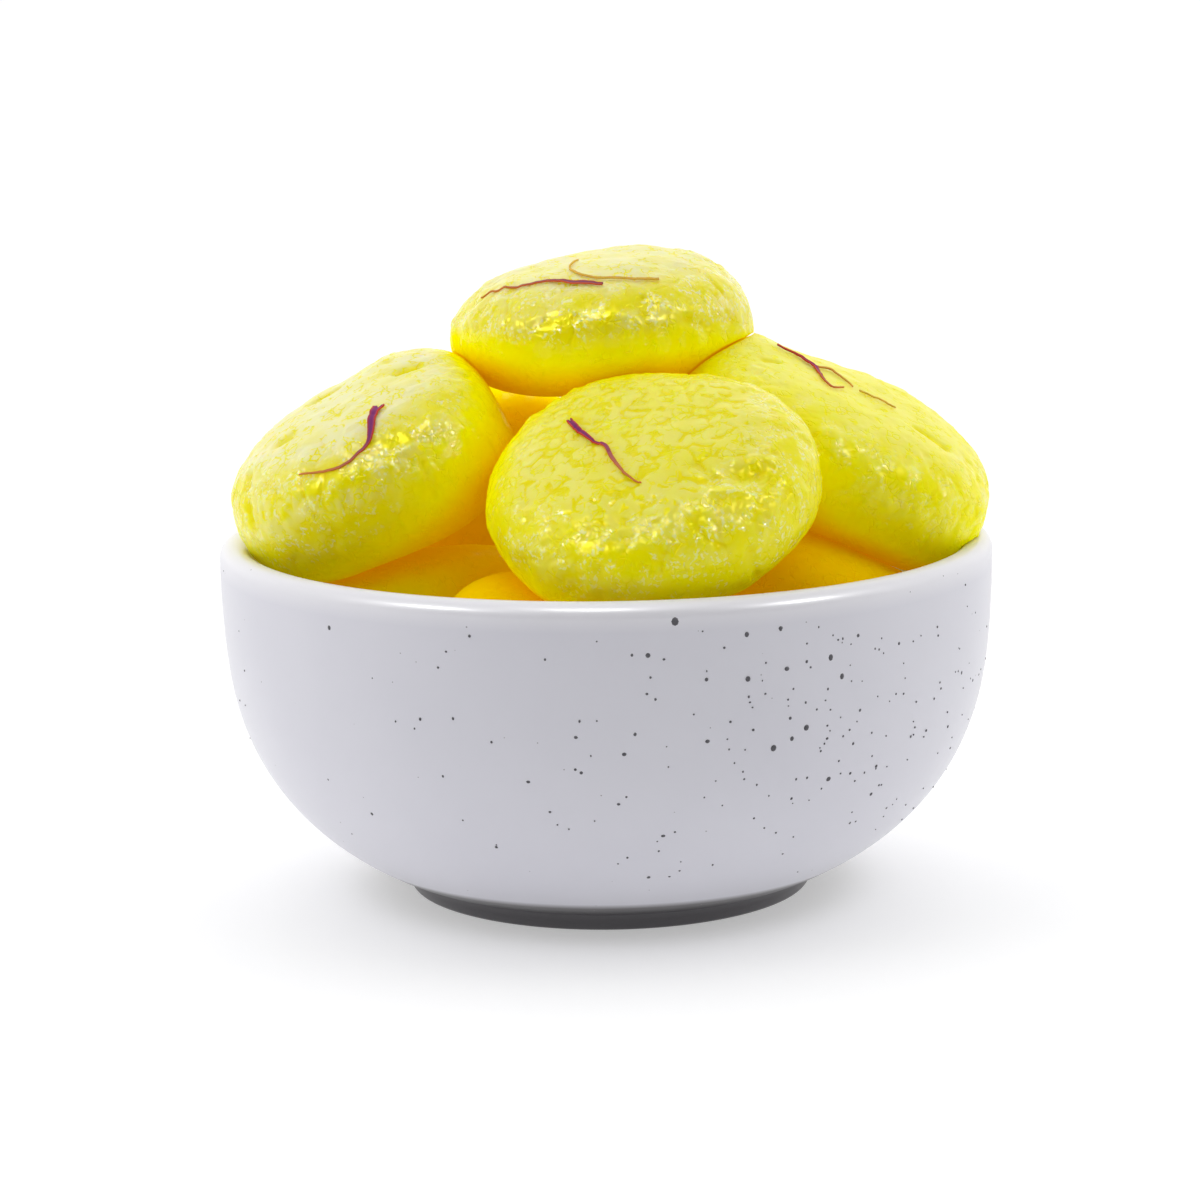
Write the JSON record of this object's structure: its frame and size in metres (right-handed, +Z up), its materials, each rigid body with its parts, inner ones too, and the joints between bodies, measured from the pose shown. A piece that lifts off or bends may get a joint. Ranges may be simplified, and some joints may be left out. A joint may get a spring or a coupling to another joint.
{
  "type": "bowl of saffron rasgulla",
  "caption": "Round footed stoneware bowl heaped with flattened yellow curd sweets, some with thin saffron threads on top.",
  "frame": {"origin": "middle of the bowl's foot, on the surface it stands on", "axes": "+Z up along the bowl's axis, -Y towards the shown side, +X to the right as seen from that side"},
  "size_m": [0.13, 0.13, 0.1068],
  "materials": {
    "stoneware": "satin glaze with dark speckles",
    "curd": "moist, finely cracked",
    "saffron": "dry, dull"
  },
  "bodies": {
    "root": {"bowl_foot": "stoneware", "bowl_belly": "stoneware", "bowl_wall": "stoneware", "bowl_rim": "stoneware", "sweet_top": "curd", "sweet_front": "curd", "sweet_left": "curd", "sweet_right": "curd", "sweet_back_left": "curd", "sweet_back_right": "curd", "sweet_low_front": "curd", "sweet_low_left": "curd", "sweet_low_right": "curd", "sweet_low_back": "curd", "sweet_base_left": "curd", "sweet_base_right": "curd"}
  },
  "joints": []
}
